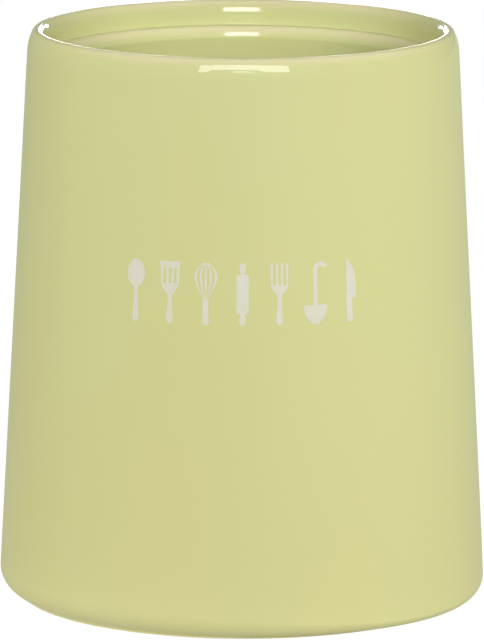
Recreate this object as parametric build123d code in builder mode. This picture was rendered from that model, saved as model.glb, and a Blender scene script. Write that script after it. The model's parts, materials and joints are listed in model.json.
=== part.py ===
from build123d import *
from math import cos, radians, sin, tan
import os

# A utensil crock: one glazed ceramic pot with a straight wall that leans in towards the rim.
# It stands on the table at z = 0, with its axis on Z. Every length is in millimetres.

# The outside
height = 155.0  # from the table to the crest of the rim
base_radius = 66.4  # where the line of the wall meets the table
wall_lean_angle = 3.1  # in degrees from upright
heel_round = 6.7  # soft corner under the wall
heel_end_angle = 65.5  # in degrees below level, where the heel's normal has turned to
shoulder_round = 13.5  # large arc by which the wall turns in below the rim
shoulder_end_angle = 26.0  # in degrees above level, where the shoulder's normal has turned to
rim_outer_round = 1.6  # from the shoulder up to the crest
rim_inner_round = 2.7  # from the crest over into the mouth

# The clay of the wall and the floor
wall_thickness = 4.6
floor_thickness = 5.0
floor_cove = 8.0  # inside, where the wall meets the floor

# The gallery in the mouth, a ledge that a lid of the same family sits on
seat_height = 4.2  # straight wall between the rim's rounding and the ledge
seat_draft_angle = 4.2  # in degrees from upright, so that the plaster mould lets go
ledge_width = 3.7
ledge_chamfer = 0.9
ledge_edge_thickness = 2.6
haunch_height = 40.0  # the long slope that carries the ledge on the wall

# The foot ring, wiped bare of glaze so that it doesn't stick to the kiln shelf
foot_width = 4.6
foot_height = 0.8  # bare clay below the edge of the glaze
glaze_thickness = 0.3  # the glaze ends this far outside the bare clay
recess_depth = 1.9  # the underside inside the ring clears the table by this
recess_slope = 1.5

# A cove of two flats has its middle point this share of the cove's size from the corner
cove_middle_share = 0.3

# The wall's lean, and its radius at any height
lean = radians(wall_lean_angle)


def outer_radius(z):
    return base_radius - z * tan(lean)


def inner_radius(z):
    return outer_radius(z) - wall_thickness / cos(lean)


# The shoulder's arc touches the wall's line, and the rim's smaller arc touches the shoulder's
shoulder_turn = radians(shoulder_end_angle)
arc_centres_apart = shoulder_round - rim_outer_round
rim_z = height - rim_outer_round
shoulder_z = rim_z - arc_centres_apart * sin(shoulder_turn)
shoulder_radius = outer_radius(shoulder_z) - shoulder_round / cos(lean)
crest_radius = shoulder_radius + arc_centres_apart * cos(shoulder_turn)
wall_top = (shoulder_radius + shoulder_round * cos(lean), shoulder_z + shoulder_round * sin(lean))

# In the mouth the rim's rounding runs into the seat wall, which ends on the ledge
draft = radians(seat_draft_angle)
mouth_round_z = height - rim_inner_round
seat_top_radius = crest_radius - rim_inner_round * cos(draft)
seat_top_z = mouth_round_z + rim_inner_round * sin(draft)
ledge_z = seat_top_z - seat_height
seat_radius = seat_top_radius - seat_height * tan(draft)
ledge_radius = seat_radius - ledge_width
ledge_edge_z = ledge_z - ledge_edge_thickness
haunch_z = ledge_edge_z - haunch_height

# The heel's arc touches the wall's line, and a flat run carries it on to the edge of the glaze
heel_turn = radians(heel_end_angle)
heel_z = foot_height + heel_round
heel_radius = outer_radius(heel_z) - heel_round / cos(lean)
heel_end_radius = heel_radius + heel_round * cos(heel_turn)
heel_end_z = heel_z - heel_round * sin(heel_turn)
glaze_edge_radius = heel_end_radius - (heel_end_z - foot_height) * tan(heel_turn)
foot_radius = glaze_edge_radius - glaze_thickness
recess_radius = foot_radius - foot_width

# The floor and the cove above it
floor_z = recess_depth + floor_thickness
cove_z = floor_z + floor_cove
cove_middle = cove_middle_share * floor_cove

# The pot is one half section, turned once about its axis
with BuildPart() as crock_body:
    with BuildSketch(Plane.XZ):
        with BuildLine():
            # Recess under the floor, bare foot ring and the glazed heel above it
            Polyline(
                (0, recess_depth),
                (recess_radius - recess_slope, recess_depth),
                (recess_radius, 0),
                (foot_radius, 0),
                (foot_radius, foot_height),
                (glaze_edge_radius, foot_height),
                (heel_end_radius, heel_end_z),
            )
            CenterArc((heel_radius, heel_z), heel_round, -heel_end_angle, heel_end_angle + wall_lean_angle)
            # Outer wall, and the shoulder's large arc off it
            Line((heel_radius + heel_round * cos(lean), heel_z + heel_round * sin(lean)), wall_top)
            shoulder_sweep = shoulder_end_angle - wall_lean_angle
            CenterArc((shoulder_radius, shoulder_z), shoulder_round, wall_lean_angle, shoulder_sweep)
            # Rim: a small arc up to the crest and one over into the mouth
            CenterArc((crest_radius, rim_z), rim_outer_round, shoulder_end_angle, 90 - shoulder_end_angle)
            CenterArc((crest_radius, mouth_round_z), rim_inner_round, 90, 90 - seat_draft_angle)
            # Seat wall, ledge with its broken edge, haunch under it, inner wall, cove and floor
            Polyline(
                (seat_top_radius, seat_top_z),
                (seat_radius, ledge_z),
                (ledge_radius + ledge_chamfer, ledge_z),
                (ledge_radius, ledge_z - ledge_chamfer),
                (ledge_radius, ledge_edge_z),
                (inner_radius(haunch_z), haunch_z),
                (inner_radius(cove_z), cove_z),
                (inner_radius(floor_z) - cove_middle, floor_z + cove_middle),
                (inner_radius(floor_z) - floor_cove, floor_z),
                (0, floor_z),
            )
            Line((0, floor_z), (0, recess_depth))
        make_face()
    revolve(axis=Axis.Z)
crock_body.part.label = "crock_body"

os.makedirs("parts", exist_ok=True)
export_step(crock_body.part, "parts/crock_body.step")

print("crest of the rim", round(2 * crest_radius, 1), "across and", round(height, 1), "high")
print("mouth inside the ledge", round(2 * ledge_radius, 1), "across, lid seat", round(2 * seat_radius, 1))
print("foot ring", round(2 * foot_radius, 1), "across outside and", round(2 * recess_radius, 1), "inside")
print("volume of clay and glaze", round(crock_body.part.volume), "cubic millimetres")
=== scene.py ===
# %% [markdown]
# # A glazed utensil crock
# The real object is one fired pot. A plaster mould gives it a straight wall that leans in, a soft shoulder, a rounded
# rim and a ledge inside the mouth. It is dipped in a glossy yellow-green glaze, and small off-white figures are
# printed on its front.
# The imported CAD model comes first, because it fixes the size and the place of everything that follows.

# %% Load the frame
import json
from math import cos, pi, radians, sin, sqrt, tan

import bmesh
import bpy
from mathutils import Matrix, Vector

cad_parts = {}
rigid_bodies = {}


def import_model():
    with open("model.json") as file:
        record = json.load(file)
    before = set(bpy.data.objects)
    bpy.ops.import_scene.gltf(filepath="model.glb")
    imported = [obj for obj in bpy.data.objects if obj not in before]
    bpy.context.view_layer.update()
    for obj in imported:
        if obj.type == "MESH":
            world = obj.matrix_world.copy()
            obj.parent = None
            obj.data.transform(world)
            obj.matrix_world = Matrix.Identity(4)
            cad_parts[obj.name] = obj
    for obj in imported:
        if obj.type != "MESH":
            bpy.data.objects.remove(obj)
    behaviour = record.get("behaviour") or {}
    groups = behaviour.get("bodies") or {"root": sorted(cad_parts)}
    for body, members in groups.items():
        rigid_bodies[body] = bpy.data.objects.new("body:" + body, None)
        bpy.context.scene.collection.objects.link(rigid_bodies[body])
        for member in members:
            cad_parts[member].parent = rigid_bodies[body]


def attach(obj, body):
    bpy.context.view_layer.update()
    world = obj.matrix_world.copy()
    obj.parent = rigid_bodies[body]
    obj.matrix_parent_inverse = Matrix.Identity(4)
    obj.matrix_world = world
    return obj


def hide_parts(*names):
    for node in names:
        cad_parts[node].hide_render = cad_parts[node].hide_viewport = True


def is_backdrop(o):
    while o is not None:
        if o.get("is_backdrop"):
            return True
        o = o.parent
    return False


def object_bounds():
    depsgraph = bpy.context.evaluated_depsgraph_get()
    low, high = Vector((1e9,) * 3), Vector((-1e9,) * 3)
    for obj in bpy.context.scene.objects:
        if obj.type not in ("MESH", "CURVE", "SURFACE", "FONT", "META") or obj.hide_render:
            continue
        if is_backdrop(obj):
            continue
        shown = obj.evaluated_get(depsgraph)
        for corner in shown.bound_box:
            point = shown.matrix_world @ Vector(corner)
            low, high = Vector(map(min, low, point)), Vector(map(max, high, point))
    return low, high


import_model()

mm = 0.001
cad_low, cad_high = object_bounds()
scene = bpy.context.scene
print("CAD box in mm", [round(side / mm, 2) for side in cad_high - cad_low])

# %% [markdown]
# ## Working by hand, in code
# Blender's modelling operators act on what is selected. By hand one clicks a ring of edges. In code the same ring is
# found by its place, so each step below first picks and then pulls.

# %% Helpers that pick by place
place_tolerance = 0.02 * mm
merge_distance = 0.002 * mm


def deselect_everything():
    for obj in scene.objects:
        obj.select_set(False)


def edit(obj):
    """Opens one mesh in edit mode, with nothing else selected."""
    deselect_everything()
    obj.select_set(True)
    bpy.context.view_layer.objects.active = obj
    bpy.ops.object.mode_set(mode="EDIT")


def finish_edit():
    """Leaves edit mode with the object's place inside its mesh, as a CAD node's is."""
    bpy.ops.object.mode_set(mode="OBJECT")
    bpy.ops.object.transform_apply(location=True, rotation=True, scale=True)
    return bpy.context.object


def pick(kind, test):
    """Selects the vertices, edges or faces whose corners all pass the test, and nothing else."""
    bpy.ops.mesh.select_mode(type=kind)
    bpy.ops.mesh.select_all(action="DESELECT")
    mesh = bmesh.from_edit_mesh(bpy.context.object.data)
    parts = {"VERT": mesh.verts, "EDGE": mesh.edges, "FACE": mesh.faces}[kind]
    chosen = [part for part in parts if all(test(v.co) for v in ([part] if kind == "VERT" else part.verts))]
    for part in chosen:
        part.select_set(True)
    mesh.select_flush_mode()
    bmesh.update_edit_mesh(bpy.context.object.data)
    return len(chosen)


def apply_modifier(obj, kind, **settings):
    """Adds a modifier with these settings and applies it at once."""
    modifier = obj.modifiers.new(kind.title(), kind)
    for name, value in settings.items():
        setattr(modifier, name, value)
    deselect_everything()
    obj.select_set(True)
    bpy.context.view_layer.objects.active = obj
    bpy.ops.object.modifier_apply(modifier=modifier.name)


# %% [markdown]
# ## The pot's section
# A potter's drawing is a half section: the outline from the middle of the underside, round the foot, up the wall,
# over the rim and down to the floor inside. It could be traced with a curve. Here it is a list of rings, each with a
# radius and a height, because every ring can then be pulled out of the last one. Round stretches are true arcs, so
# that the gloss runs over them without a kink.

# %% Sizes of the section
hair = 0.03 * mm  # the glazed pot stays this far inside the CAD box
height = cad_high.z - hair
base_radius = 66.4 * mm - hair
lean = radians(3.1)
wall_thickness = 4.6 * mm

shoulder_round, shoulder_turn = 13.5 * mm, radians(26)
rim_outer_round = 1.6 * mm
rim_inner_round, rim_inner_turn = 1.8 * mm, radians(65)
throat_round, seat_draft = 8.5 * mm, radians(4.2)

ledge_z = 148.3 * mm
ledge_radius = 48.85 * mm
lip_top_round, lip_face_round = 2.03 * mm, 7.3 * mm
lip_turn, lip_end_turn = radians(21), radians(5)  # how far the face's normal still looks up, at its two ends
haunch_z = 105.7 * mm

heel_round, heel_turn = 6.7 * mm, radians(65.5)
foot_height = 0.8 * mm
glaze_thickness = 0.3 * mm
foot_width = 4.6 * mm
recess_depth, recess_slope = 1.9 * mm, 1.5 * mm
floor_z = 6.9 * mm
floor_cove = 8 * mm

# How far the sharp corners are rounded, from the underside round to the haunch
recess_corner, foot_inner_corner, foot_outer_corner, glaze_corner = 0.9 * mm, 0.5 * mm, 0.3 * mm, 0.12 * mm
ledge_corner, lip_corner, haunch_corner = 0.35 * mm, 0.25 * mm, 2 * mm


def wall_radius(z):
    return base_radius - z * tan(lean)


def inner_radius(z):
    return wall_radius(z) - wall_thickness / cos(lean)


def arc(centre, radius, start, end, steps):
    """Rings along an arc of the section, from one angle to the other, both ends included."""
    angles = [start + (end - start) * step / steps for step in range(steps + 1)]
    return [(centre[0] + radius * cos(angle), centre[1] + radius * sin(angle)) for angle in angles]


def straight(start, end, steps):
    """Rings evenly spaced along a straight stretch, without its two ends."""
    shares = [step / steps for step in range(1, steps)]
    return [tuple(a + (b - a) * share for a, b in zip(start, end)) for share in shares]


print("the pot is", round(height / mm, 2), "mm high")

# %% The heel, the wall and the rim as arcs that touch
heel_z = foot_height + heel_round
heel_centre = (wall_radius(heel_z) - heel_round / cos(lean), heel_z)
heel = arc(heel_centre, heel_round, -heel_turn, lean, steps=14)
glaze_edge_radius = heel[0][0] - (heel[0][1] - foot_height) * tan(heel_turn)
foot_radius = glaze_edge_radius - glaze_thickness
recess_radius = foot_radius - foot_width

rim_z = height - rim_outer_round
centres_apart = shoulder_round - rim_outer_round
shoulder_z = rim_z - centres_apart * sin(shoulder_turn)
shoulder_centre = (wall_radius(shoulder_z) - shoulder_round / cos(lean), shoulder_z)
crest_radius = shoulder_centre[0] + centres_apart * cos(shoulder_turn)
shoulder = arc(shoulder_centre, shoulder_round, lean, shoulder_turn, steps=12)
rim_outside = arc((crest_radius, rim_z), rim_outer_round, shoulder_turn, pi / 2, steps=10)

rim_inner_centre = (crest_radius, height - rim_inner_round)
throat_start = pi / 2 + rim_inner_turn
throat_offset = throat_round - rim_inner_round
throat_centre = (
    rim_inner_centre[0] - throat_offset * cos(throat_start),
    rim_inner_centre[1] - throat_offset * sin(throat_start),
)
rim_inside = arc(rim_inner_centre, rim_inner_round, pi / 2, throat_start, steps=10)
throat = arc(throat_centre, throat_round, throat_start, pi - seat_draft, steps=6)
seat_radius = throat[-1][0] - (throat[-1][1] - ledge_z) * tan(seat_draft)

lip_top_z = ledge_z - lip_top_round
lip_step = lip_face_round - lip_top_round
lip_face_centre = (ledge_radius + lip_face_round * cos(lip_end_turn), lip_top_z - lip_step * sin(lip_turn))
lip_top_centre = (lip_face_centre[0] - lip_step * cos(lip_turn), lip_top_z)
lip_top = arc(lip_top_centre, lip_top_round, pi / 2, pi - lip_turn, steps=8)
lip_face = arc(lip_face_centre, lip_face_round, pi - lip_turn, pi - lip_end_turn, steps=6)
print("crest", round(2 * crest_radius / mm, 1), "mm across, seat", round(2 * seat_radius / mm, 1), "mm across")

# %% The whole section, ring by ring
inside_corner = (inner_radius(floor_z), floor_z)
haunch_foot = (inner_radius(haunch_z), haunch_z)
section = [
    (recess_radius - recess_slope, recess_depth),
    (recess_radius, 0),
    (foot_radius, 0),
    (foot_radius, foot_height),
    (glaze_edge_radius, foot_height),
    *heel,
    *straight(heel[-1], shoulder[0], steps=20),
    *shoulder,
    *rim_outside[1:],
    *rim_inside[1:],
    *throat[1:],
    (seat_radius, ledge_z),
    *lip_top,
    *lip_face[1:],
    *straight(lip_face[-1], haunch_foot, steps=8),
    haunch_foot,
    *straight(haunch_foot, inside_corner, steps=12),
    inside_corner,
    (inside_corner[0] - 2 * floor_cove, floor_z),
]
print(len(section), "rings")

# %% [markdown]
# ## Throwing the pot
# On the wheel a pot grows ring by ring. The same is done here: a disc for the underside, whose edge is pulled out,
# up, over and down inside, and closed in the middle of the floor. Spinning the section as an edge would give the same
# shape, but it leaves a seam that has to be merged. Sharp corners are bevelled afterwards, as a sponge rounds them.

# %% Pull the rings
pot_sides, pot_crease = 480, radians(50)  # edges that turn by more than the crease stay sharp
deselect_everything()
bpy.ops.mesh.primitive_circle_add(
    vertices=pot_sides, radius=section[0][0], fill_type="TRIFAN", location=(0, 0, section[0][1])
)
pot = bpy.context.object
pot.name = "glazed_pot"
bpy.ops.object.transform_apply(location=True, rotation=True, scale=True)
edit(pot)


def pick_ring(radius, z):
    return pick("EDGE", lambda co: abs(co.xy.length - radius) < place_tolerance and abs(co.z - z) < place_tolerance)


pick_ring(*section[0])
for (old_radius, old_z), (radius, z) in zip(section, section[1:]):
    bpy.ops.mesh.extrude_region_move(TRANSFORM_OT_translate={"value": (0, 0, z - old_z)})
    widen = radius / old_radius
    bpy.ops.transform.resize(value=(widen, widen, 1), center_override=(0, 0, z))
bpy.ops.mesh.extrude_region()
bpy.ops.mesh.merge(type="CENTER")
print("pulled", len(bmesh.from_edit_mesh(pot.data).verts), "points")

# %% Round the corners
corners = [
    ((recess_radius - recess_slope, recess_depth), recess_corner, 3),
    ((recess_radius, 0), foot_inner_corner, 3),
    ((foot_radius, 0), foot_outer_corner, 3),
    ((glaze_edge_radius, foot_height), glaze_corner, 2),
    ((seat_radius, ledge_z), ledge_corner, 4),
    (lip_face[-1], lip_corner, 3),
    (haunch_foot, haunch_corner, 3),
    (inside_corner, floor_cove, 9),
]
for ring, reach, segments in corners:
    edges = pick_ring(*ring)
    bpy.ops.mesh.bevel(offset=reach, offset_type="OFFSET", segments=segments, profile=0.5, affect="EDGES")
    print("rounded", edges, "edges at", [round(value / mm, 1) for value in ring])

bpy.ops.mesh.select_all(action="SELECT")
bpy.ops.mesh.remove_doubles(threshold=merge_distance)
bpy.ops.mesh.normals_make_consistent(inside=False)
finish_edit()
bpy.ops.object.shade_smooth_by_angle(angle=pot_crease)
print("pot has", len(pot.data.polygons), "faces")

# %% [markdown]
# ## A fuller heel on one side
# The soft corner under the wall is rubbed round by hand while the clay is damp, so it isn't the same all the way
# round. On the real pot it is fuller at the front right. Each ring of the heel is drawn again there on a tighter arc
# that touches the same wall.

# %% Tighten the heel at the front right
full_heel_round = 3.1 * mm
full_heel_turn = radians(52)  # from the front towards the right
full_heel_way = Vector((sin(full_heel_turn), -cos(full_heel_turn)))
full_heel_power = 3  # the higher, the narrower the stretch that is fuller
heel_step = (lean + heel_turn) / (len(heel) - 1)
moved = 0
for number, (ring_radius, ring_z) in enumerate(heel):
    angle = number * heel_step - heel_turn
    for vertex in pot.data.vertices:
        across = vertex.co.xy
        if abs(across.length - ring_radius) > place_tolerance or abs(vertex.co.z - ring_z) > place_tolerance:
            continue
        share = max(0.0, across.normalized().dot(full_heel_way)) ** full_heel_power
        here = heel_round + share * (full_heel_round - heel_round)
        centre = wall_radius(foot_height + here) - here / cos(lean)
        radius = min(centre + here * cos(angle), heel[-1][0])
        vertex.co.xy = radius * across.normalized()
        vertex.co.z = foot_height + here + here * sin(angle)
        moved += share > 0
print(moved, "points of the heel moved")

# %% [markdown]
# ## Glaze is never quite even
# Slip-cast ware warps a little in the kiln, and the glaze lies thicker in one place than in another. Sculpting could
# show it. A displacement by soft noise is enough, a tenth of a millimetre at most, and it bends the reflections.

# %% Uneven glaze
wave_length, wave_depth = 0.045, 0.10 * mm
waves = bpy.data.textures.new("kiln waves", "CLOUDS")
waves.noise_scale = wave_length
waves.noise_depth = 1
apply_modifier(
    pot, "DISPLACE", texture=waves, texture_coords="LOCAL", direction="NORMAL", mid_level=1.0, strength=wave_depth
)
low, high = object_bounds()
print("box after displacement in mm", [round(side / mm, 2) for side in high - low])
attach(pot, "root")
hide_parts("crock_body")

# %% [markdown]
# ## Figures on the front
# The front carries a row of small kitchen tools, printed in off-white enamel and fired on. A texture could paint
# them, but an outline made of geometry stays sharp from near. Each one is a flat sheet, built up from its foot as a
# paper cut-out would be, and then laid on the wall and given the thickness of a coat of enamel.

# %% Flat figures
print_z = 93.2 * mm
figure_height = 16.5 * mm
figure_foot = print_z - figure_height / 2
flat_gap = 2 * mm  # from the wall to a flat figure, before it is laid on the wall
flat_y = -wall_radius(print_z) - flat_gap
enamel_lift, enamel_thickness, enamel_crease = 0.03 * mm, 0.05 * mm, radians(40)
figures = []


def start_figure(name, width, foot, top, columns=1, rows=1):
    """A flat upright grid of faces, from one height above the figures' foot to another."""
    deselect_everything()
    middle = (0, flat_y, figure_foot + (foot + top) / 2)
    bpy.ops.mesh.primitive_grid_add(
        x_subdivisions=columns, y_subdivisions=rows, size=1, location=middle, rotation=(pi / 2, 0, 0)
    )
    figure = bpy.context.object
    figure.name = name
    bpy.ops.object.transform_apply(location=True, rotation=True, scale=True)
    edit(figure)
    bpy.ops.mesh.select_all(action="SELECT")
    bpy.ops.transform.resize(value=(width, 1, top - foot), center_override=middle)


def finish_figure():
    """Ends a flat figure and adds it to the row, which has them in the order in which they are made."""
    figure = finish_edit()
    figures.append(figure)
    print(figure.name, "is flat and has", len(figure.data.polygons), "faces")


def pick_level(z, half_width=1.0):
    """The edges of a flat figure that lie level at this height above its foot."""
    return pick(
        "EDGE", lambda co: abs(co.z - figure_foot - z) < place_tolerance and abs(co.x) < half_width + place_tolerance
    )


def pull_figure(stations):
    """Extrudes the picked level edges through more stations of (height, width, sideways place)."""
    for z, width, aside in stations:
        mesh = bmesh.from_edit_mesh(bpy.context.object.data)
        ends = [v.co.copy() for v in mesh.verts if v.select]
        old_width = max(co.x for co in ends) - min(co.x for co in ends)
        old_middle = (max(co.x for co in ends) + min(co.x for co in ends)) / 2
        move = (aside - old_middle, 0, figure_foot + z - ends[0].z)
        bpy.ops.mesh.extrude_region_move(TRANSFORM_OT_translate={"value": move})
        bpy.ops.transform.resize(
            value=(width / old_width, 1, 1), center_override=(aside, flat_y, figure_foot + z)
        )


def in_mm(rows):
    """Stations straight above each other, from a table of heights and widths in millimetres."""
    return [(z * mm, width * mm, 0) for z, width in rows]


def bowl_stations(foot, top, width, steps, neck):
    """Stations of an egg-shaped outline between two heights, never narrower than the neck."""
    shares = [step / steps for step in range(1, steps)]
    rows = [(foot + (top - foot) * share, width * 2 * sqrt(share * (1 - share)), 0) for share in shares]
    return [(z, max(wide, neck), aside) for z, wide, aside in rows] + [(top, width / 4, 0)]


def lay_on_wall(figure, turn):
    """Turns a flat figure round the pot's axis, lays it on the wall and gives it the enamel's thickness."""
    edit(figure)
    bpy.ops.mesh.select_all(action="SELECT")
    bpy.ops.mesh.remove_doubles(threshold=merge_distance)
    bpy.ops.mesh.normals_make_consistent(inside=False)
    bpy.ops.mesh.subdivide(number_cuts=3)
    finish_edit()
    figure.rotation_euler.z = turn
    bpy.ops.object.transform_apply(location=True, rotation=True, scale=True)
    apply_modifier(
        figure, "SHRINKWRAP", target=pot, wrap_method="NEAREST_SURFACEPOINT", wrap_mode="ABOVE_SURFACE",
        offset=enamel_lift,
    )
    apply_modifier(figure, "SOLIDIFY", thickness=enamel_thickness, offset=0)
    edit(figure)
    bpy.ops.mesh.select_all(action="SELECT")
    bpy.ops.mesh.normals_make_consistent(inside=False)
    finish_edit()
    bpy.ops.object.shade_smooth_by_angle(angle=enamel_crease)
    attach(figure, "root")
    print(figure.name, "has", len(figure.data.polygons), "faces")


# %% Spoon
handle_top = 9
start_figure("print_spoon", 1.5 * mm, 0, 0.5 * mm)
pick_level(0.5 * mm)
pull_figure(in_mm([(1.5, 1.9), (3.2, 1.6), (6, 1.15), (handle_top, 1.1)]))
pull_figure(bowl_stations(handle_top * mm, figure_height, width=5.2 * mm, steps=12, neck=1.2 * mm))
finish_figure()

# %% Turner and whisk, whose heads are cut from a grid
def cut_columns(width, columns, low, high):
    """Deletes every second column of faces between two heights, which leaves tines, bars or wires."""
    column = width / columns
    for gap in range(1, columns, 2):
        left = gap * column - width / 2
        pick(
            "FACE",
            lambda co: left - place_tolerance < co.x < left + column + place_tolerance
            and low - place_tolerance < co.z - figure_foot < high + place_tolerance,
        )
        bpy.ops.mesh.delete(type="FACE")


def shape_rows(foot, top, shares):
    """Narrows each level row of a grid, from its foot up, to its share of the full width."""
    for row, share in enumerate(shares):
        z = foot + (top - foot) * row / (len(shares) - 1)
        pick_level(z)
        bpy.ops.transform.resize(value=(share, 1, 1), center_override=(0, flat_y, figure_foot + z))


def pull_handle(z, half_width):
    """Pulls a handle down from the middle of a head's lower edge."""
    pick_level(z, half_width)
    pull_figure(in_mm([(7.4, 1.15), (5, 1.2), (3, 1.6), (1.4, 1.9), (0.5, 1.6), (0, 1.0)]))


width, foot, columns, rows = 5.8 * mm, 9 * mm, 7, 9
border = 1.6 * mm  # between the slots and the head's two ends
start_figure("print_turner", width, foot, figure_height, columns, rows)
cut_columns(width, columns, foot + border, figure_height - border)
shape_rows(foot, figure_height, [0.6, 0.8] + [0.85 + 0.15 * row / rows for row in range(2, rows + 1)])
pull_handle(foot, width)
finish_figure()

width, foot, columns, rows = 6.4 * mm, 6.2 * mm, 9, 18
border = (figure_height - foot) / rows
neck, closed = 0.24, 0.995  # the neck's share of the width, and how near to the top the wires come together
start_figure("print_whisk", width, foot, figure_height, columns, rows)
cut_columns(width, columns, foot + border, figure_height - border)
shape_rows(
    foot, figure_height, [neck + (1 - neck) * sin(pi * min(row / rows, closed) ** 1.5) for row in range(rows + 1)]
)
pick_level(foot, width)
pull_figure(in_mm([(5.4, 1.5), (3, 1.5), (1.4, 1.9), (0.4, 1.7), (0, 1.1)]))
finish_figure()

# %% Rolling pin
start_figure("print_rolling_pin", 1.3 * mm, 0, 0.4 * mm)
pick_level(0.4 * mm)
rising = in_mm([(1.0, 1.9), (1.9, 1.7), (2.7, 1.1), (3.0, 1.1), (3.05, 2.9), (3.4, 3.4)])
falling = [(figure_height - z, width, aside) for z, width, aside in reversed(rising)]
pull_figure(rising + falling + [(figure_height, 1.3 * mm, 0)])
finish_figure()

# %% Fork
width, foot, columns, rows = 4.9 * mm, 8.5 * mm, 7, 8
bridge = 2 * mm  # the tines start this far above the head's foot
start_figure("print_fork", width, foot, figure_height, columns, rows)
cut_columns(width, columns, foot + bridge, figure_height)
shape_rows(foot, figure_height, [0.45, 0.85] + [1] * (rows - 1))
pull_handle(foot, width)
finish_figure()

# %% Ladle, whose hook is spun
handle_width, hook_radius = 1.2 * mm, 1.5 * mm
hook_z = figure_height - hook_radius - handle_width / 2
start_figure("print_ladle", 2.4 * mm, 0, 0.4 * mm)
pick_level(0.4 * mm)
bowl = in_mm([(1.2, 4.4), (2.2, 5.6), (3.2, 6.3), (4.4, 6.6), (5.0, 6.6), (5.05, 1.3)])
pull_figure(bowl + [(hook_z, handle_width, 0)])
bpy.ops.mesh.spin(steps=10, angle=0.85 * pi, center=(hook_radius, flat_y, figure_foot + hook_z), axis=(0, -1, 0))
finish_figure()

# %% Knife
back = 0.95 * mm  # the straight back of the blade lies this far to the left
start_figure("print_knife", 1.6 * mm, 0, 0.4 * mm)
pick_level(0.4 * mm)
handle = [(1.0, 2.0), (3, 1.8), (5.6, 1.7), (6.3, 1.9)]
blade = [(6.4, 2.9), (8, 3.0), (10, 3.0), (12, 2.8), (13.5, 2.4), (14.8, 1.8), (15.8, 1.1), (16.5, 0.4)]
pull_figure([(z * mm, width * mm, width * mm / 2 - back) for z, width in handle + blade])
finish_figure()

# %% Lay the row of figures on the wall
row_width = 58.4 * mm  # from the middle of the first figure to the middle of the last
for place, figure in enumerate(figures):
    aside = row_width * (place / (len(figures) - 1) - 0.5)
    lay_on_wall(figure, aside / wall_radius(print_z))

# %% [markdown]
# ## Glaze
# The glaze is coloured glass over pale clay. Where it runs off an edge it is thin, and the clay shines through as
# cream. On the rim and the ledge's edge that cream is also painted sheen, for the bright room that these faces
# mirror, and towards the rim's left and right ends it fades as painted shade. Its tone also drifts a little, because
# no dip coats a pot evenly. Painting could show this, but a node group that knows the pot's heights works on every
# side and can be used again.

# %% Helpers for node trees
def srgb(red, green, blue):
    """A colour given as 0 to 255 on screen, as the linear colour that a shader takes."""
    def linear(value):
        value /= 255
        return value / 12.92 if value <= 0.04045 else ((value + 0.055) / 1.055) ** 2.4

    return (linear(red), linear(green), linear(blue), 1)


def add_node(tree, kind, **settings):
    """Adds a node. A setting named after an input fills that input, and any other is the node's own."""
    node = tree.nodes.new(kind)
    for name, value in settings.items():
        if hasattr(node, name):
            setattr(node, name, value)
        else:
            node.inputs[name.replace("_", " ")].default_value = value
    return node


def band(tree, value, low, high, to_low=0.0, to_high=1.0):
    """A smooth step of a value from one end of a band to the other."""
    node = add_node(tree, "ShaderNodeMapRange", interpolation_type="SMOOTHSTEP", clamp=True)
    node.inputs["From Min"].default_value = low
    node.inputs["From Max"].default_value = high
    node.inputs["To Min"].default_value = to_low
    node.inputs["To Max"].default_value = to_high
    tree.links.new(value, node.inputs["Value"])
    return node.outputs["Result"]


def mix(tree, factor, first, second):
    """Mixes two colours. Each of the three is a socket or a plain value."""
    node = add_node(tree, "ShaderNodeMix", data_type="RGBA")
    for socket, value in ((node.inputs[0], factor), (node.inputs[6], first), (node.inputs[7], second)):
        if isinstance(value, bpy.types.NodeSocket):
            tree.links.new(value, socket)
        else:
            socket.default_value = value
    return node.outputs[2]


def calculate(tree, operation, first, second):
    """One sum of two values, each a socket or a number."""
    node = add_node(tree, "ShaderNodeMath", operation=operation)
    for socket, value in zip(node.inputs, (first, second)):
        if isinstance(value, bpy.types.NodeSocket):
            tree.links.new(value, socket)
        else:
            socket.default_value = value
    return node.outputs[0]


def separate(tree, position):
    """The X, Y and Z of a position, as the outputs of a node."""
    node = add_node(tree, "ShaderNodeSeparateXYZ")
    tree.links.new(position, node.inputs[0])
    return node.outputs


def from_axis(tree, place):
    """How far a place lies from the pot's axis."""
    x_squared = calculate(tree, "MULTIPLY", place["X"], place["X"])
    y_squared = calculate(tree, "MULTIPLY", place["Y"], place["Y"])
    return calculate(tree, "SQRT", calculate(tree, "ADD", x_squared, y_squared), 0)


def new_group(name, inputs, outputs):
    """An empty node group with named sockets."""
    group = bpy.data.node_groups.new(name, "ShaderNodeTree")
    for socket, kind in inputs:
        group.interface.new_socket(socket, in_out="INPUT", socket_type=kind)
    for socket, kind in outputs:
        group.interface.new_socket(socket, in_out="OUTPUT", socket_type=kind)
    start = group.nodes.new("NodeGroupInput")
    end = group.nodes.new("NodeGroupOutput")
    return group, start, end


# %% Where the glaze runs thin, with painted sheen and painted shade
# Each pair is a stretch of height, radius or sideways place over which the pale mark grows or fades: thin glaze with
# painted sheen by height and radius, painted shade sideways
rim_fade = (height - 2.6 * mm, height - 0.8 * mm)
rim_side_shade_fade = (34 * mm, 54 * mm)
lip_fade = (ledge_z - 2.6 * mm, ledge_z - 1.2 * mm)
seat_fade = (ledge_z + 0.2 * mm, ledge_z + 0.9 * mm)
ledge_fade = (ledge_radius + 1.5 * mm, seat_radius)
rim_side_shade_share = 0.2  # what is left of the pale rim at its left and right ends, which are darkened there as painted shade
wander_reach = 1.2 * mm  # how far these heights wander round the pot


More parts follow.
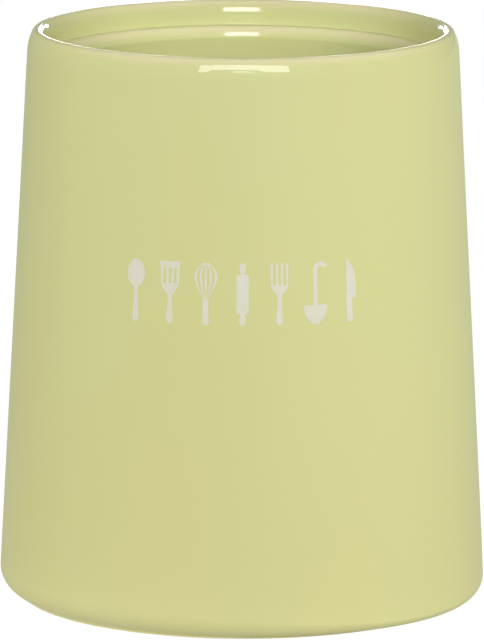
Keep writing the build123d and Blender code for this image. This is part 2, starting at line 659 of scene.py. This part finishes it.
def thin_glaze_and_painted_light_group():
    """Puts out how pale the glaze is: 0 on the walls, up to 1 on the ledge's edge and the rim, where it is thin glaze
    and painted sheen, less at the rim's sides as painted shade.
    """
    group, start, end = new_group("thin glaze and painted light", [("Position", "NodeSocketVector")], [("Mask", "NodeSocketFloat")])
    place = separate(group, start.outputs["Position"])
    noise = add_node(group, "ShaderNodeTexNoise", Scale=90.0, Detail=2.0)
    group.links.new(start.outputs["Position"], noise.inputs["Vector"])
    wander = calculate(group, "MULTIPLY", calculate(group, "SUBTRACT", noise.outputs["Fac"], 0.5), wander_reach)
    z = calculate(group, "ADD", place["Z"], wander)
    aside = calculate(group, "ABSOLUTE", place["X"], 0)
    # Painted shade: the pale rim fades towards its left and right ends
    painted_side_shade = band(group, aside, *rim_side_shade_fade, 1.0, rim_side_shade_share)
    on_rim = calculate(group, "MULTIPLY", band(group, z, *rim_fade), painted_side_shade)
    above = band(group, z, *lip_fade)
    below = band(group, z, *seat_fade, 1.0, 0.0)
    inwards = band(group, from_axis(group, place), *ledge_fade, 1.0, 0.0)
    on_ledge = calculate(group, "MULTIPLY", calculate(group, "MULTIPLY", above, below), inwards)
    group.links.new(calculate(group, "MAXIMUM", on_rim, on_ledge), end.inputs["Mask"])
    return group


thin_glaze_and_painted_light = thin_glaze_and_painted_light_group()
print("group", thin_glaze_and_painted_light.name, "with", len(thin_glaze_and_painted_light.nodes), "nodes")

# %% How the tone drifts
upright_scale = 0.35  # under 1, so that the clouds are drawn out into upright streaks
height_share, patch_share = 0.55, 0.35  # how much the height and the streaks turn the tone greener
drift_share = 0.7


def tone_drift_group():
    """Shifts a colour a little towards a second one, in soft upright streaks and from top to bottom."""
    group, start, end = new_group(
        "tone drift",
        [
            ("Position", "NodeSocketVector"),
            ("Colour", "NodeSocketColor"),
            ("Greener", "NodeSocketColor"),
            ("Yellower", "NodeSocketColor"),
        ],
        [("Colour", "NodeSocketColor")],
    )
    stretch = add_node(group, "ShaderNodeMapping")
    stretch.inputs["Scale"].default_value = (1, 1, upright_scale)
    group.links.new(start.outputs["Position"], stretch.inputs["Vector"])
    clouds = add_node(group, "ShaderNodeTexNoise", Scale=28.0, Detail=2.0, Roughness=0.5)
    group.links.new(stretch.outputs["Vector"], clouds.inputs["Vector"])
    place = separate(group, start.outputs["Position"])
    upwards = calculate(group, "MULTIPLY", band(group, place["Z"], 0.0, height), height_share)
    patches = calculate(group, "MULTIPLY", band(group, clouds.outputs["Fac"], 0.35, 0.65), patch_share)
    greener = calculate(group, "ADD", upwards, patches)
    drift = mix(group, greener, start.outputs["Yellower"], start.outputs["Greener"])
    group.links.new(mix(group, drift_share, start.outputs["Colour"], drift), end.inputs["Colour"])
    return group


tone_drift = tone_drift_group()
print("group", tone_drift.name, "with", len(tone_drift.nodes), "nodes")

# %% Ripples in the glassy skin
fine_share = 0.02  # the fine ripples' height, as a share of the soft ones'
roughness_swing = 0.04


def skin_ripple_group():
    """Puts out a height and a roughness that vary as a fired glassy skin does."""
    group, start, end = new_group(
        "skin ripple",
        [("Position", "NodeSocketVector"), ("Roughness", "NodeSocketFloat")],
        [("Height", "NodeSocketFloat"), ("Roughness", "NodeSocketFloat")],
    )
    soft = add_node(group, "ShaderNodeTexNoise", Scale=130.0, Detail=1.0)
    fine = add_node(group, "ShaderNodeTexNoise", Scale=1500.0, Detail=1.0)
    for noise in (soft, fine):
        group.links.new(start.outputs["Position"], noise.inputs["Vector"])
    fine_height = calculate(group, "MULTIPLY", fine.outputs["Fac"], fine_share)
    group.links.new(calculate(group, "ADD", soft.outputs["Fac"], fine_height), end.inputs["Height"])
    vary = calculate(group, "MULTIPLY", calculate(group, "SUBTRACT", soft.outputs["Fac"], 0.5), roughness_swing)
    group.links.new(calculate(group, "ADD", start.outputs["Roughness"], vary), end.inputs["Roughness"])
    return group


skin_ripple = skin_ripple_group()
print("group", skin_ripple.name, "with", len(skin_ripple.nodes), "nodes")

# %% The glaze itself
glaze_colour = srgb(213, 213, 150)
greener_colour = srgb(209, 215, 151)
yellower_colour = srgb(216, 211, 145)
# The cream of thin glaze, which on the rim and the ledge's edge also stands for painted sheen
thin_glaze_and_sheen_colour = srgb(224, 217, 166)
glaze_roughness, glaze_ripple, glaze_ior = 0.07, 0.02 * mm, 1.5


def new_material(name, roughness):
    """A material with its shader, its output and the coordinates of the object."""
    material = bpy.data.materials.new(name)
    material.use_nodes = True
    tree = material.node_tree
    shader = tree.nodes["Principled BSDF"]
    shader.inputs["Roughness"].default_value = roughness
    coordinates = add_node(tree, "ShaderNodeTexCoord")
    return material, tree, shader, coordinates.outputs["Object"]


def add_group(tree, group, **links):
    """Places a group in a material. A link is a socket or a plain value for the input of that name."""
    node = add_node(tree, "ShaderNodeGroup", node_tree=group)
    for name, value in links.items():
        if isinstance(value, bpy.types.NodeSocket):
            tree.links.new(value, node.inputs[name])
        else:
            node.inputs[name].default_value = value
    return node


def add_skin(tree, shader, position, roughness, depth):
    """Gives a shader the ripples of a glassy skin, as bump and as roughness."""
    skin = add_group(tree, skin_ripple, Position=position, Roughness=roughness)
    bump = add_node(tree, "ShaderNodeBump", Strength=1.0, Distance=depth)
    tree.links.new(skin.outputs["Height"], bump.inputs["Height"])
    tree.links.new(bump.outputs["Normal"], shader.inputs["Normal"])
    tree.links.new(skin.outputs["Roughness"], shader.inputs["Roughness"])


def make_glaze():
    material, tree, shader, position = new_material("yellow-green glaze", glaze_roughness)
    shader.inputs["IOR"].default_value = glaze_ior
    drift = add_group(
        tree, tone_drift, Position=position, Colour=glaze_colour, Greener=greener_colour, Yellower=yellower_colour
    )
    thin_and_painted_light = add_group(tree, thin_glaze_and_painted_light, Position=position)
    # Paler where the mask is up: thin glaze and painted sheen, less at the rim's left and right ends as painted shade
    colour = mix(tree, thin_and_painted_light.outputs["Mask"], drift.outputs["Colour"], thin_glaze_and_sheen_colour)
    tree.links.new(colour, shader.inputs["Base Color"])
    add_skin(tree, shader, position, glaze_roughness, glaze_ripple)
    return material


glaze = make_glaze()
pot.data.materials.append(glaze)
print(glaze.name, "with", len(glaze.node_tree.nodes), "nodes")

# %% [markdown]
# ## Bare clay
# The ring that stood on the kiln shelf was wiped clean, or the pot would have stuck. It shows the clay: cream, dry
# and slightly gritty. It could be a mask in the glaze, but a second material on those faces is what the potter made.

# %% The bare foot ring
clay_dark, clay_light = srgb(222, 209, 180), srgb(236, 227, 204)
clay_roughness, grit_depth = 0.85, 0.05 * mm


def make_bare_clay():
    material, tree, shader, position = new_material("bare clay", clay_roughness)
    grit = add_node(tree, "ShaderNodeTexNoise", Scale=900.0, Detail=4.0, Roughness=0.7)
    tree.links.new(position, grit.inputs["Vector"])
    colour = mix(tree, band(tree, grit.outputs["Fac"], 0.3, 0.7), clay_dark, clay_light)
    tree.links.new(colour, shader.inputs["Base Color"])
    bump = add_node(tree, "ShaderNodeBump", Strength=0.6, Distance=grit_depth)
    tree.links.new(grit.outputs["Fac"], bump.inputs["Height"])
    tree.links.new(bump.outputs["Normal"], shader.inputs["Normal"])
    return material


pot.data.materials.append(make_bare_clay())
edit(pot)
bare_height, bare_radius = foot_height + place_tolerance, foot_radius + place_tolerance
bare_faces = pick("FACE", lambda co: co.z < bare_height and co.xy.length < bare_radius)
pot.active_material_index = 1
bpy.ops.object.material_slot_assign()
bpy.ops.object.mode_set(mode="OBJECT")
print(bare_faces, "faces of bare clay")

# %% [markdown]
# ## Enamel
# The figures are a thin coat of off-white enamel, fired on top of the glaze. It is a little less glossy, and where
# the coat is thin a hint of the glaze's colour comes through.

# %% The enamel
thick_enamel, thin_enamel = srgb(223, 221, 203), srgb(219, 218, 195)
enamel_roughness, enamel_ripple = 0.25, 0.01 * mm


def make_enamel():
    material, tree, shader, position = new_material("off-white enamel", enamel_roughness)
    coat = add_node(tree, "ShaderNodeTexNoise", Scale=450.0, Detail=2.0, Roughness=0.5)
    tree.links.new(position, coat.inputs["Vector"])
    colour = mix(tree, band(tree, coat.outputs["Fac"], 0.3, 0.75), thick_enamel, thin_enamel)
    tree.links.new(colour, shader.inputs["Base Color"])
    add_skin(tree, shader, position, enamel_roughness, enamel_ripple)
    return material


enamel = make_enamel()
for figure in figures:
    figure.data.materials.append(enamel)
print("enamel on", len(figures), "figures")

# %% [markdown]
# ## Camera
# The photographer stood well back with a long lens, a little above the rim. The distance and the height were found
# by fitting the outline of the pot, so the picture's own corners are not needed here.

# %% The camera
camera_distance, camera_height = 1.862, 0.4231
camera_pitch, camera_roll = 0.1849, 0.0032
focal_pixels, picture_long_side, sensor = 6974, 640, 36.0
pixels_off_centre, pixels_per_metre = 0.47, 3720
axis_off_centre = pixels_off_centre / pixels_per_metre  # how far right of the picture's middle the pot stands
camera_data = bpy.data.cameras.new("camera")
camera_data.sensor_width = sensor
camera_data.lens = focal_pixels / picture_long_side * sensor
camera_data.clip_end = 50
camera = bpy.data.objects.new("camera", camera_data)
scene.collection.objects.link(camera)
camera.matrix_world = (
    Matrix.Translation((-axis_off_centre, -camera_distance, camera_height))
    @ Matrix.Rotation(pi / 2 - camera_pitch, 4, "X")
    @ Matrix.Rotation(camera_roll, 4, "Z")
)
scene.camera = camera
print("lens", round(camera_data.lens, 1), "mm")

# %% [markdown]
# ## Studio
# The pot stands on white paper. A wide softbox stands in front, high enough to light the mouth as well, a smaller one
# on each side keeps the flanks bright, and a narrow weak lamp reaches the far wall inside the mouth. The paper throws
# light up, most of it under the heel. What the glaze mirrors is another matter: pale paper, a duller room above it,
# and the lamps as small bars. Real lamps could be moved until both look right. Here the light that falls on the pot
# and the light that it mirrors are set apart, with Light Path in the world and with cards that only the gloss sees.

# %% World and floor
ambient = 0.35  # the world's share of the plain light
seen_floor = 0.30  # the share of the floor's look that comes from real light, and so takes the shadow
floor_light = 0.42  # what the lamps and the world give the floor
floor_radius, round_sides = 12, 96
# The light that the paper throws up: under the heel and away from it, each on the left and on the right
heel_glow_left, heel_glow_right = 0.65, 0.49
paper_glow_left, paper_glow_right = 0.27, 0.34
heel_glow_end = (0.070, 0.086)  # distances from the axis over which the glow under the heel ends
heel_glow_sides, paper_glow_sides = (-0.06, 0.06), (-0.12, 0.10)  # where the left's level turns into the right's


def is_seen(tree):
    """1 for the rays that look at the background: from the camera, or by way of gloss or glass."""
    path = add_node(tree, "ShaderNodeLightPath")
    seen = calculate(tree, "MAXIMUM", path.outputs["Is Camera Ray"], path.outputs["Is Glossy Ray"])
    return calculate(tree, "MAXIMUM", seen, path.outputs["Is Transmission Ray"])


world = bpy.data.worlds.new("studio")
scene.world = world
world.use_nodes = True
background = world.node_tree.nodes["Background"]
seen = is_seen(world.node_tree)
strength = calculate(world.node_tree, "ADD", calculate(world.node_tree, "MULTIPLY", seen, 1 - ambient), ambient)
background.inputs["Color"].default_value = (1, 1, 1, 1)
world.node_tree.links.new(strength, background.inputs["Strength"])

deselect_everything()
bpy.ops.mesh.primitive_circle_add(vertices=round_sides, radius=floor_radius, fill_type="NGON")
floor = bpy.context.object
floor.name = "floor"
floor_material, tree, shader, position = new_material("white paper", 1.0)
shader.inputs["Specular IOR Level"].default_value = 0
seen = is_seen(tree)
tree.links.new(mix(tree, seen, (0, 0, 0, 1), (seen_floor, seen_floor, seen_floor, 1)), shader.inputs["Base Color"])
shader.inputs["Emission Color"].default_value = (1, 1, 1, 1)
place = separate(tree, position)
under_heel = band(tree, from_axis(tree, place), *heel_glow_end, 1.0, 0.0)
heel_level = band(tree, place["X"], *heel_glow_sides, heel_glow_left, heel_glow_right)
heel_glow = calculate(tree, "MULTIPLY", under_heel, heel_level)
paper_glow = band(tree, place["X"], *paper_glow_sides, paper_glow_left, paper_glow_right)
glow = calculate(tree, "MAXIMUM", heel_glow, paper_glow)
unseen = calculate(tree, "SUBTRACT", 1, seen)
seen_part = calculate(tree, "MULTIPLY", seen, 1 - seen_floor * floor_light)
glow_part = calculate(tree, "MULTIPLY", unseen, glow)
tree.links.new(calculate(tree, "ADD", seen_part, glow_part), shader.inputs["Emission Strength"])
floor.data.materials.append(floor_material)
floor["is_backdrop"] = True
print("floor", floor.dimensions.x, "m across")

# %% Softboxes
middle_of_pot = Vector((0, 0, height / 2))


def softbox(name, azimuth, elevation, distance, width, tall, level, aim=middle_of_pot, spread=pi):
    """A softbox that gives a white sheet facing it this brightness. Azimuth 0 is in front, 90 on the right."""
    turn, rise = radians(azimuth), radians(elevation)
    lamp = bpy.data.objects.new(name, bpy.data.lights.new(name, "AREA"))
    lamp.data.shape = "RECTANGLE"
    lamp.data.size, lamp.data.size_y = width, tall
    lamp.data.energy = level * (pi * distance) ** 2
    lamp.data.spread = spread
    lamp.location = aim + distance * Vector((sin(turn) * cos(rise), -cos(turn) * cos(rise), sin(rise)))
    lamp.rotation_euler = (aim - lamp.location).to_track_quat("-Z", "Y").to_euler()
    lamp.visible_glossy = False
    scene.collection.objects.link(lamp)
    print(name, round(lamp.data.energy, 4), "W")


softbox("front softbox", azimuth=7, elevation=20, distance=1.6, width=1.6, tall=0.7, level=0.75)
softbox("left softbox", azimuth=-100, elevation=2, distance=1.2, width=0.8, tall=0.24, level=0.41)
softbox("right softbox", azimuth=100, elevation=2, distance=1.2, width=0.8, tall=0.24, level=0.35)
far_wall_inside = Vector((-2 * mm, 50 * mm, 131 * mm))
softbox(
    "mouth lamp", azimuth=0, elevation=28, distance=0.8, width=0.08, tall=0.02, level=0.00031,
    aim=far_wall_inside, spread=radians(3),
)

# %% Cards that only the gloss sees
def glow_material(name, colour, strength):
    """A material that only glows, with its shader and the coordinates of the object."""
    material, tree, shader, position = new_material(name, 1.0)
    shader.inputs["Base Color"].default_value = (0, 0, 0, 1)
    shader.inputs["Emission Color"].default_value = colour
    shader.inputs["Emission Strength"].default_value = strength
    return material, tree, shader, position


def show_to_gloss_only(card, name, material):
    card.name = name
    card.data.materials.append(material)
    card.visible_camera = card.visible_diffuse = card.visible_transmission = False
    card.visible_shadow = card.visible_volume_scatter = False
    card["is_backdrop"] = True
    print(name, [round(side, 4) for side in card.dimensions])


def mirror_card(name, middle, width, tall, material, columns=1):
    """A glowing upright card that faces the pot."""
    deselect_everything()
    bpy.ops.mesh.primitive_grid_add(
        x_subdivisions=columns, y_subdivisions=1, size=1, location=middle, rotation=(pi / 2, 0, 0)
    )
    card = bpy.context.object
    card.scale = (width, tall, 1)
    bpy.ops.object.transform_apply(location=True, rotation=True, scale=True)
    show_to_gloss_only(card, name, material)


# %% The dull table below and the dull room above, as the glaze mirrors them
table_left, table_right = (0.42, 0.41, 0.27, 1), (0.60, 0.59, 0.42, 1)
table_radius, table_lift = 3.6, 0.2 * mm
table_sides = (-0.6, 0.6)  # where the left's tone turns into the right's
room_distance, room_tall = 3.5, 4.0

deselect_everything()
bpy.ops.mesh.primitive_circle_add(
    vertices=round_sides, radius=table_radius, fill_type="NGON", location=(0, 0, table_lift)
)
material, tree, shader, position = glow_material("mirrored table", table_left, 1)
tone = band(tree, separate(tree, position)["X"], *table_sides)
tree.links.new(mix(tree, tone, table_left, table_right), shader.inputs["Emission Color"])
show_to_gloss_only(bpy.context.object, "mirrored_table", material)

dull = glow_material("mirrored room", (0.45, 0.45, 0.36, 1), 1)[0]
deselect_everything()
bpy.ops.mesh.primitive_cylinder_add(
    vertices=round_sides, radius=room_distance, depth=room_tall, end_fill_type="NOTHING",
    location=(0, 0, room_tall / 2),
)
show_to_gloss_only(bpy.context.object, "mirrored_room", dull)

# %% [markdown]
# ## Lamps as bars of light
# On the real glaze the lamps show as thin lines of light: short bars in the far side of the mouth, on the near rim
# and on the shoulder below it, and a long line round each end of the rim. A lamp in the scene could draw each line,
# but it would light the walls too. A card that only the gloss sees draws the line alone. The one behind the pot is
# weak in the middle and strong towards both sides, and its upper edge is a V, so its line ends in a brighter blob.

# %% The lamp in front and the lamp behind
lamp_white = (1, 0.97, 1, 1)
mirror_card("mirrored_lamp", (0.022, -1.0, 0.552), 0.40, 0.34, glow_material("front lamp", lamp_white, 12)[0])

back_middle, back_y = 1 * mm, 0.25
back_width, back_top_width = 120 * mm, 66 * mm
back_low, back_joint, back_high = 162 * mm, 187 * mm, 209 * mm
back_growth = (4 * mm, 26 * mm)  # sideways places over which it grows from the middle's strength to the sides'
back_middle_strength, back_side_strength, dull_strength = 1.5, 9, 0.45
v_slope = 0.6  # how steeply the upper edge climbs to both sides
v_edge = (189 * mm, 192 * mm)  # heights over which that edge fades, in the middle

material, tree, shader, position = glow_material("back lamp", lamp_white, 1)
place = separate(tree, position)
aside = calculate(tree, "ABSOLUTE", place["X"], 0)
bar_strength = band(tree, aside, *back_growth, back_middle_strength, back_side_strength)
over_v = calculate(tree, "SUBTRACT", place["Z"], calculate(tree, "MULTIPLY", aside, v_slope))
bar_strength = calculate(tree, "MULTIPLY", bar_strength, band(tree, over_v, *v_edge, 1.0, 0.0))
bar_strength = calculate(tree, "MAXIMUM", bar_strength, dull_strength)
tree.links.new(bar_strength, shader.inputs["Emission Strength"])
for name, width, low, high in (
    ("mirrored_back_lamp", back_width, back_low, back_joint),
    ("mirrored_back_lamp_top", back_top_width, back_joint, back_high),
):
    mirror_card(name, (back_middle, back_y, (low + high) / 2), width, high - low, material)

# %% The lamp close to the near rim
# The bar is thicker at both ends, and a dull flag stands behind its lower edge. A dull shade over the rim keeps the
# bar out of what the far wall mirrors
bar_y, bar_middle, bar_half, bar_low, bar_high = -67.5 * mm, 0.4 * mm, 17 * mm, 155.4 * mm, 161.2 * mm
bar_columns, bar_lift = 20, 1.6 * mm
thin_left, thin_right = bar_middle - 0.72 * bar_half, bar_middle + 0.35 * bar_half
dull_width, dull_tall = 40 * mm, 7 * mm
mirror_card(
    "mirrored_near_lamp", (bar_middle, bar_y, (bar_low + bar_high) / 2), 2 * bar_half, bar_high - bar_low,
    glow_material("near lamp", lamp_white, 6.5)[0], bar_columns,
)
bpy.ops.object.mode_set(mode="EDIT")
pick("VERT", lambda co: co.z < bar_low + place_tolerance and thin_left < co.x < thin_right)
bpy.ops.transform.translate(value=(0, 0, bar_lift))
bpy.ops.object.mode_set(mode="OBJECT")
mirror_card("mirrored_flag", (0, bar_y - 0.2 * mm, 154 * mm), dull_width, dull_tall, dull)
mirror_card(
    "mirrored_gap_lamp", (-0.2 * mm, bar_y, 155.4 * mm), 6.5 * mm, 0.8 * mm,
    glow_material("gap lamp", lamp_white, 7)[0],
)
mirror_card("mirrored_shade", (0, -54 * mm, 158.7 * mm), dull_width, dull_tall, dull)

# %% [markdown]
# ## The view and the box
# The view is set to plain colours, and the box of the finished model is written beside the CAD box, so that the two
# can be compared.

# %% Finish
scene.view_settings.view_transform = "Standard"
low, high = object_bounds()
print("visual box in mm", [round(side / mm, 2) for side in high - low])
